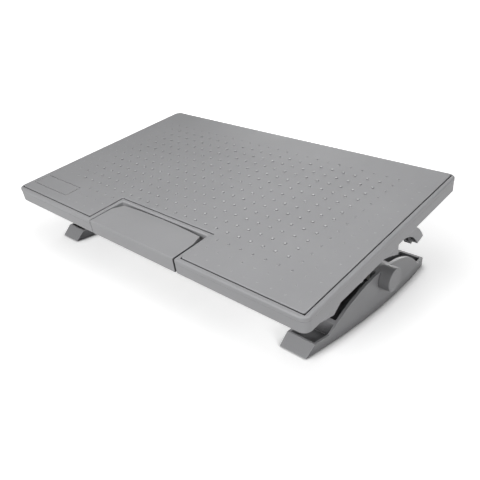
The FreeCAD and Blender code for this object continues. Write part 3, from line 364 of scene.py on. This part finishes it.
def platform_shell():
    """The platform's moulding: soft lip round the pedal notch, soft edge under the skirt."""
    def lip(middle, way):
        reach = 1.3
        return (middle.z > RIM_TOP - reach and abs(middle.x) < NOTCH_HALF + reach
                and middle.y < NOTCH_REAR + reach)

    def groove_edge(middle, way):
        return near(middle.z, RIM_TOP) and not lip(middle, way)

    def under_edge(middle, way):
        band, skin = 12, 1.5  # the skirt's outer face lies in both
        side, y = abs(middle.x), middle.y
        outside = side > HALF_WIDTH - band or y < FRONT_EDGE + 1 or y > REAR_EDGE - band
        inside = side < HALF_WIDTH - skin and FRONT_EDGE + skin < y < REAR_EDGE - skin
        return near(middle.z, SKIRT_LOW) and outside and not inside
    piece = softened("platform_frame", "platform_shell", (0.5, 2, lip), (0.3, 2, groove_edge),
                     (0.5, 2, under_edge))

    # A fine shadow line runs round the skirt, under the rim's band.
    def on_line(middle, normal):
        side = abs(middle.x) - HALF_WIDTH
        end = max(FRONT_EDGE - middle.y, middle.y - REAR_EDGE)
        outside = max(side, end) > -0.6
        in_corner = (side > -CORNER and end > -CORNER
                     and math.hypot(side + CORNER, end + CORNER) > CORNER - 1)
        return (LINE_TOP - LINE_HEIGHT < middle.z < LINE_TOP - 0.02 and abs(normal.z) < 0.1
                and (outside or in_corner))
    bpy.ops.object.mode_set(mode="EDIT")
    cut(0, 0, LINE_TOP - LINE_HEIGHT, 0, 0, 1)
    choose("FACE", on_line)
    inset(0.05, -LINE_DEPTH)
    done(piece)
    even_shading(piece)
    return seat(piece, "platform", "platform_frame", slot="platform_plastic")


def rocker_pedal():
    """The pedal, with rounded outer edges and a sharp crease between its two facets."""
    def rear_outline(middle, way):
        return middle.z > RIM_TOP - 4 and middle.y > FRONT_EDGE + CREASE + 0.5

    def front_low(middle, way):
        return near(middle.z, SKIRT_LOW) and middle.y < FRONT_EDGE + 0.1
    piece = softened("pedal", "rocker_pedal", (1.3, 3, rear_outline), (0.5, 2, front_low))
    bpy.ops.object.mode_set(mode="EDIT")
    choose("EDGE", lambda middle, way: near(middle.z, RIM_TOP) and abs(way.x) > 0.99
           and near(middle.y, FRONT_EDGE + CREASE))
    bpy.ops.mesh.mark_sharp()
    bpy.ops.object.mode_set(mode="OBJECT")
    even_shading(piece)
    return seat(piece, "pedal", "pedal", slot="pedal_plastic")


def foot_moulding(word):
    """A foot, with soft edges on its walls, its toe and its heel."""
    def rim(middle, way):
        # The underside, and the cap's seat round the tube, keep their sharp edges.
        at_seat = abs(middle.y) < 18 and -18 < middle.z < 9
        return middle.z > FOOT_UNDERSIDE + 0.2 and not at_seat
    piece = softened(f"foot_{word}", f"foot_moulding_{word}", (0.8, 3, rim))
    return seat(piece, "base", f"foot_{word}", slot="foot_plastic", standing=True)


def guard_moulding(word):
    """A side guard, with soft edges where it hangs below the skirt."""
    piece = softened(f"side_guard_{word}", f"guard_moulding_{word}",
                     (0.5, 2, lambda middle, way: middle.z < SKIRT_LOW - 0.6))
    return seat(piece, "platform", f"side_guard_{word}", slot="guard_plastic")


def pivot_cap(word, side):
    """A pivot cap: a turned disc with a rounded rim and a faint ring round its gate mark."""
    piece = start("cylinder", f"pivot_cap_{word}", (side * CAP_MIDDLE, 0, 0), radius=CAP_RADIUS,
                  depth=CAP_LENGTH, vertices=64, rotation=(0, math.pi / 2, 0))
    choose("FACE", lambda middle, normal: normal.x * side > 0.9)
    ring_from_rim, ring_slope, ring_depth = 4.2, 0.5, 0.35
    inset(ring_from_rim)
    inset(ring_slope, -ring_depth)
    inset(ring_slope, ring_depth)
    choose("EDGE", lambda middle, way: near(middle.x * side, CAP_FACE)
           and near(math.hypot(middle.y, middle.z), CAP_RADIUS, 0.2))
    bpy.ops.mesh.bevel(offset=1.4 * MM, segments=4)
    done(piece)
    even_shading(piece)
    return seat(piece, "base", "pivot_caps", slot="cap_plastic", standing=True)


def screw(name):
    """A pan-head screw's head under a flange, at the origin: domed, with a round recess."""
    piece = start("cylinder", name, (0, 0, FLANGE_LOW - SCREW_HEIGHT / 2), radius=SCREW_RADIUS,
                  depth=SCREW_HEIGHT, vertices=32)
    dome, flat, recess_taper, recess_depth = 1.2, 0.5, 0.6, 0.9
    choose("EDGE", lambda middle, way: near(middle.z, FLANGE_LOW - SCREW_HEIGHT)
           and math.hypot(middle.x, middle.y) > 3)
    bpy.ops.mesh.bevel(offset=dome * MM, segments=4)
    choose("FACE", lambda middle, normal: normal.z < -0.99)
    inset(flat)
    inset(recess_taper, -recess_depth)
    return done(piece)


# ---------------------------------------------------------------- finishes

def linear(sheet):
    """An sRGB hex colour as linear RGBA."""
    parts = [int(sheet[i:i + 2], 16) / 255 for i in (1, 3, 5)]
    return [c / 12.92 if c <= 0.04045 else ((c + 0.055) / 1.055) ** 2.4 for c in parts] + [1]


def wire(owner, node, links):
    """Feeds a node's inputs, by name or number, each from another node's socket or a constant."""
    for name, source in links.items():
        if isinstance(source, bpy.types.NodeSocket):
            owner.node_tree.links.new(source, node.inputs[name])
        else:
            node.inputs[name].default_value = source


def add(owner, kind, links=None, stops=(), **settings):
    """Adds a node to a material or a world.

    settings are its properties or its inputs' constants, links are as in wire(), and stops are
    the places and hex colours of a ramp.
    """
    new = owner.node_tree.nodes.new("ShaderNode" + kind)
    for name, value in settings.items():
        if hasattr(new, name):
            setattr(new, name, value)
        else:
            new.inputs[name.replace("_", " ")].default_value = value
    for number, (place, colour) in enumerate(stops):
        new.color_ramp.elements[number].position = place
        new.color_ramp.elements[number].color = linear(colour)
    wire(owner, new, links or {})
    return new


def shell(name, **shader):
    """A new material with its shader's constant values set; returns it and the shader."""
    material = bpy.data.materials.new(name)
    material.use_nodes = True
    surface = material.node_tree.nodes["Principled BSDF"]
    for word, value in shader.items():
        surface.inputs[word.replace("_", " ")].default_value = value
    return material, surface


def worn_edges(material, radius):
    """1 on rubbed edges and 0 on flat faces: where a rounded normal leaves the true one."""
    soft = add(material, "Bevel", Radius=radius * MM)
    true = add(material, "NewGeometry")
    same = add(material, "VectorMath", {0: soft.outputs["Normal"], 1: true.outputs["Normal"]},
               operation="DOT_PRODUCT")
    worn = add(material, "MapRange", {"Value": same.outputs["Value"]},
               From_Min=0.998, From_Max=0.93)
    return worn.outputs["Result"]


def moulded(name, light, dark, worn, roughness, grain=0.9, depth=0.06, reach=5, studs=False,
            **shader):
    """A moulded plastic: flow marks in the colour, a spark-eroded grain, rubbed edges and painted
    shade in gaps.

    grain, depth and reach are the grain's size and depth and how far the painted shade reaches out
    of a gap, in millimetres. The grain of a real mould face is 0.1 mm or so; it is drawn at about
    1 mm so that it shows. Flow marks are about 110 mm long. worn is the pale colour of rubbed
    edges, and on the studs' tops it is a painted highlight.
    """
    material, surface = shell(name, **shader)
    coordinates = add(material, "TexCoord")
    place = coordinates.outputs["Object"]
    flow = add(material, "TexNoise", {"Vector": place}, Scale=9, Detail=4, Roughness=0.6)
    fine = add(material, "TexNoise", {"Vector": place}, Scale=1 / (grain * MM), Detail=2)
    plastic = add(material, "ValToRGB", {"Fac": flow.outputs["Fac"]},
                  stops=((0.3, dark), (0.7, light)))
    # Painted shade: ambient occlusion darkens grooves, gaps and hollows towards near black.
    hollow = add(material, "AmbientOcclusion", Distance=reach * MM, samples=4)
    painted_shade = add(material, "MapRange", {"Value": hollow.outputs["AO"]},
                From_Min=0.68, From_Max=0.3)
    colour = add(material, "Mix", {0: painted_shade.outputs["Result"], 6: plastic.outputs["Color"],
                                   7: linear("#242426")}, data_type="RGBA").outputs[2]
    wear_and_highlight = worn_edges(material, 0.7)
    if studs:
        # Painted shade: the studs' steep sides are darkened to near black.
        up = (0, -math.sin(REST_TILT), math.cos(REST_TILT))
        face = PIVOT.dot(Vector(up)) + TREAD_TOP * MM
        over = add(material, "VectorMath", {0: place, 1: up}, operation="DOT_PRODUCT")
        slope = add(material, "VectorMath", {0: coordinates.outputs["Normal"], 1: up},
                    operation="DOT_PRODUCT")
        raised = add(material, "MapRange", {"Value": over.outputs["Value"]},
                     From_Min=face + 0.02 * MM, From_Max=face + 0.1 * MM)
        steep = add(material, "MapRange", {"Value": slope.outputs["Value"]},
                    From_Min=0.95, From_Max=0.6)
        painted_side_shade = add(material, "Math", {0: raised.outputs["Result"], 1: steep.outputs["Result"]},
                   operation="MULTIPLY")
        colour = add(material, "Mix", {0: painted_side_shade.outputs[0], 6: colour, 7: linear("#1c1c1e")},
                     data_type="RGBA").outputs[2]
        # Painted highlight: the studs' tops take the pale worn colour and also lose some
        # roughness.
        painted_top_highlight = add(material, "MapRange", {"Value": over.outputs["Value"]},
                  From_Min=face + 1.0 * MM, From_Max=face + 1.15 * MM)
        wear_and_highlight = add(material, "Math", {0: wear_and_highlight, 1: painted_top_highlight.outputs["Result"]},
                     operation="MAXIMUM").outputs[0]
    # Rubbed edges take the pale worn colour. On the tread the studs' tops take it too, as a
    # painted highlight.
    colour = add(material, "Mix", {0: wear_and_highlight, 6: colour, 7: linear(worn)},
                 data_type="RGBA").outputs[2]
    matt = add(material, "MapRange", {"Value": fine.outputs["Fac"]},
               To_Min=roughness - 0.07, To_Max=roughness + 0.07)
    polish = add(material, "MapRange", {"Value": wear_and_highlight}, To_Max=-0.14)
    total = add(material, "Math", {0: matt.outputs["Result"], 1: polish.outputs["Result"]},
                operation="ADD")
    bump = add(material, "Bump", {"Height": fine.outputs["Fac"]}, Strength=0.3,
               Distance=depth * MM)
    wire(material, surface, {"Base Color": colour, "Roughness": total.outputs[0],
                             "Normal": bump.outputs["Normal"]})
    return material


def steel(name, light, dark, roughness, across, along, depth=0.02):
    """A steel surface whose tool marks are this many millimetres long across and along X.

    Its tone drifts over patches about 17 mm wide.
    """
    material, surface = shell(name, Metallic=1.0)
    place = add(material, "TexCoord").outputs["Object"]
    drawn = add(material, "Mapping", {
        "Vector": place, "Scale": (1 / (along * MM), 1 / (across * MM), 1 / (across * MM))})
    marks = add(material, "TexNoise", {"Vector": drawn.outputs["Vector"]}, Scale=1, Detail=3)
    cloud = add(material, "TexNoise", {"Vector": place}, Scale=60, Detail=2)
    tone = add(material, "ValToRGB", {"Fac": cloud.outputs["Fac"]},
               stops=((0.35, dark), (0.65, light)))
    sheen = add(material, "MapRange", {"Value": marks.outputs["Fac"]},
                To_Min=roughness - 0.1, To_Max=roughness + 0.1)
    bump = add(material, "Bump", {"Height": marks.outputs["Fac"]}, Strength=0.25,
               Distance=depth * MM)
    wire(material, surface, {"Base Color": tone.outputs["Color"],
                             "Roughness": sheen.outputs["Result"],
                             "Normal": bump.outputs["Normal"]})
    return material


def pad_rubber():
    """Moulded nitrile rubber: dull black with pale dust, and the fine ribs that grip the floor.

    The ribs stand 3 mm apart, and the dust lies in patches about 8 mm wide.
    """
    material, surface = shell("moulded_nitrile_rubber", IOR=1.52)
    place = add(material, "TexCoord").outputs["Object"]
    dust = add(material, "TexNoise", {"Vector": place}, Scale=120, Detail=4)
    tone = add(material, "ValToRGB", {"Fac": dust.outputs["Fac"]},
               stops=((0.35, "#262627"), (0.75, "#3a3a3b")))
    matt = add(material, "MapRange", {"Value": dust.outputs["Fac"]}, To_Min=0.75, To_Max=0.95)
    ribs = add(material, "TexWave", {"Vector": place}, Scale=0.314 / (3 * MM),
               bands_direction="Y")
    bump = add(material, "Bump", {"Height": ribs.outputs["Fac"]}, Strength=0.6,
               Distance=0.4 * MM)
    wire(material, surface, {"Base Color": tone.outputs["Color"],
                             "Roughness": matt.outputs["Result"],
                             "Normal": bump.outputs["Normal"]})
    return material


# ---------------------------------------------------------------- studio

def seen_white(owner):
    """1 for the rays that should meet white: the camera's, the mirrored and the let through."""
    path = add(owner, "LightPath").outputs
    mirrored = add(owner, "Math", {0: path["Is Camera Ray"], 1: path["Is Glossy Ray"]},
                   operation="MAXIMUM")
    return add(owner, "Math", {0: mirrored.outputs[0], 1: path["Is Transmission Ray"]},
               operation="MAXIMUM").outputs[0]


def white_paper():
    """Matt white paper: the eye meets clean white that keeps a soft shadow close to the feet, and
    a painted contact shadow darkens it right beside them.

    What the paper throws back up at the footrest is a dim grey.
    """
    paper, surface = shell("white_paper_floor", Roughness=0.9, Specular_IOR_Level=0.1,
                           Emission_Color=WHITE)
    white = seen_white(paper)
    tone = add(paper, "Mix", {0: white, 6: linear("#999999"), 7: linear("#f4f4f4")},
               data_type="RGBA")
    place = add(paper, "TexCoord").outputs["Object"]
    away = add(paper, "VectorMath", {0: place}, operation="LENGTH")
    lift = add(paper, "MapRange", {"Value": away.outputs["Value"]}, From_Min=0.25,
               From_Max=0.75, To_Min=0.5, To_Max=1.0, interpolation_type="SMOOTHSTEP")
    # Painted contact shadow: ambient occlusion lowers the paper's glow right beside the feet.
    touching = add(paper, "AmbientOcclusion", Distance=14 * MM, samples=8)
    clear = add(paper, "MapRange", {"Value": touching.outputs["AO"],
                                    "To Max": lift.outputs["Result"]},
                From_Min=0.45, From_Max=0.95)
    seen = add(paper, "Math", {0: white, 1: clear.outputs["Result"]}, operation="MULTIPLY")
    wire(paper, surface, {"Base Color": tone.outputs[2], "Emission Strength": seen.outputs[0]})
    return paper


# Each lamp's name, place in metres, width in metres and power in watts.
LAMPS = (
    ("front_lamp", (-0.05, -1.25, 0.6), 0.8, 11.2),
    ("side_lamp", (1.0, -0.3, 0.35), 0.4, 3.2),
    ("top_lamp", (0.12, -0.14, 0.65), 0.5, 1.4),
    ("rear_lamp", (-0.6, 1.3, 0.25), 1.0, 12.0),
)
LAMP_TARGET = Vector((0, 0, 0.08))
FLOOR_DROP = 0.2  # a hair below the pads, so that the two never share a plane

CAMERA_PLACE = (0.5283, -0.5557, 0.4024)
CAMERA_DOWN = 26.2
CAMERA_ROUND = 41.6
SENSOR_WIDTH = 36
FOCAL_LENGTH = 546.4 / 480  # in picture widths


def studio():
    """A white floor that keeps the shadow, plus a painted contact shadow by the feet; a white
    surround, soft lamps and the camera.
    """
    bpy.ops.mesh.primitive_plane_add(size=60, location=(0, 0, -FLOOR_DROP * MM))
    floor = bpy.context.object
    floor.name = "floor"
    floor.data.materials.append(white_paper())

    world = bpy.data.worlds.new("surround")
    world.use_nodes = True
    bpy.context.scene.world = world
    world.node_tree.nodes.clear()
    fill = add(world, "Background", Color=WHITE, Strength=0.08)
    white = add(world, "Background", Color=WHITE, Strength=1)
    both = add(world, "MixShader", {"Fac": seen_white(world), 1: fill.outputs[0],
                                    2: white.outputs[0]})
    add(world, "OutputWorld", {"Surface": both.outputs[0]})

    for name, place, size, power in LAMPS:
        bpy.ops.object.light_add(type="AREA", location=place)
        lamp = bpy.context.object
        lamp.name = name
        lamp.data.size = size
        lamp.data.energy = power
        aim = LAMP_TARGET - Vector(place)
        lamp.rotation_euler = aim.to_track_quat("-Z", "Y").to_euler()

    bpy.ops.object.camera_add(
        location=CAMERA_PLACE,
        rotation=(math.radians(90 - CAMERA_DOWN), 0, math.radians(CAMERA_ROUND)))
    camera = bpy.context.object
    camera.data.sensor_width = SENSOR_WIDTH
    camera.data.lens = FOCAL_LENGTH * SENSOR_WIDTH
    camera.data.dof.use_dof = False
    bpy.context.scene.camera = camera
    bpy.context.scene.view_settings.view_transform = "Standard"


studio()

GREY = dict(light="#a1a1a3", dark="#9b9b9d", worn="#c6c6c8", IOR=1.53,
            Specular_IOR_Level=0.3)
DEEP_GREY = dict(light="#969698", dark="#8f8f91", worn="#b4b4b6", IOR=1.53,
                 Specular_IOR_Level=0.3)
FINISHES = {
    # Moulded ABS: an even matt grey; its grain only breaks up the lamps' reflections.
    "platform_plastic": moulded("moulded_abs_platform", roughness=0.38, **GREY),
    # Moulded ABS with a coarser grain underfoot: duller, with a painted highlight on the studs'
    # tops and painted shade on their steep sides.
    "tread_plastic": moulded("moulded_abs_tread", roughness=0.5, grain=1.2, depth=0.12,
                             studs=True, **GREY),
    # Moulded ABS with a finer grain where shoes press: a little more sheen.
    "pedal_plastic": moulded("moulded_abs_pedal", roughness=0.32, grain=0.8, depth=0.03,
                             **GREY),
    # Moulded ABS in a deeper grey, whose painted shade reaches far: darkest far down in the foot's
    # channel.
    "foot_plastic": moulded("moulded_abs_foot", roughness=0.42, reach=35, **DEEP_GREY),
    # Moulded ABS in the feet's grey: a dull disc with a paler rubbed rim.
    "cap_plastic": moulded("moulded_abs_cap", roughness=0.45, **DEEP_GREY),
    # Moulded ABS in the platform's grey, slightly duller.
    "guard_plastic": moulded("moulded_abs_guard", roughness=0.42, **GREY),
    # Glass-filled nylon: a darker grey, dull and coarse, with its fibres near the face.
    "bracket_plastic": moulded("moulded_glass_filled_nylon", "#5c5d60", "#4e4f52", "#77787b",
                               0.6, grain=1.5, depth=0.15, IOR=1.53),
    # Acetal: waxy off-white, smoother than the rest.
    "bush_plastic": moulded("moulded_acetal", "#e0ded6", "#d6d4cc", "#e8e6df", 0.35,
                            depth=0.02, IOR=1.48),
    # Drawn tube, zinc plated: bright, with fine lines along it.
    "tube_steel": steel("zinc_plated_drawn_steel", "#d0d3d6", "#bcc0c4", 0.45, across=0.6,
                        along=30),
    # Turned bar: rings left by the tool, across its length.
    "turned_steel": steel("turned_bright_steel", "#d2d2d0", "#c0c0be", 0.4, across=40,
                          along=0.4),
    # Spring strip: blue-grey from tempering.
    "spring_steel": steel("tempered_spring_steel", "#5b6068", "#474b52", 0.4, across=6,
                          along=0.5),
    # Cold-rolled strip, yellow zinc: a pale brassy tone.
    "link_steel": steel("yellow_zinc_cold_rolled_steel", "#c2b48d", "#a89b78", 0.38,
                        across=12, along=0.5),
    "pad_rubber": pad_rubber(),
}
# Black-oxide screws: near black, with a dull oily sheen.
SCREW_STEEL = steel("black_oxide_screw_steel", "#3a3b3d", "#2c2d2f", 0.45, across=3, along=3)

made = {tread(): "tread_plastic", platform_shell(): "platform_plastic",
        rocker_pedal(): "pedal_plastic"}
for word, side in (("right", 1), ("left", -1)):
    made[foot_moulding(word)] = "foot_plastic"
    made[guard_moulding(word)] = "guard_plastic"
    made[pivot_cap(word, side)] = "cap_plastic"
for node in frame["nodes"].values():
    slot = node.data.materials[0].name
    node.data.materials.clear()
    node.data.materials.append(FINISHES[slot])
for piece, slot in made.items():
    piece.data.materials.append(FINISHES[slot])

# Screws hold the arms and the housing up to the platform's bosses.
first = screw("screw")
signs = (-1, 1)
places = [(arm * ARM_MIDDLE + across * ARM_ACROSS, along * ARM_ALONG)
          for arm in signs for across in signs for along in signs]
places += [(across * HOUSING_ACROSS, along * HOUSING_ALONG)
           for across in signs for along in signs]
for number, (x, y) in enumerate(places, start=1):
    twin = seat(copy_of(first, f"flange_screw_{number:02d}", x, y), "platform")
    twin.data.materials.append(SCREW_STEEL)
bpy.data.objects.remove(first)
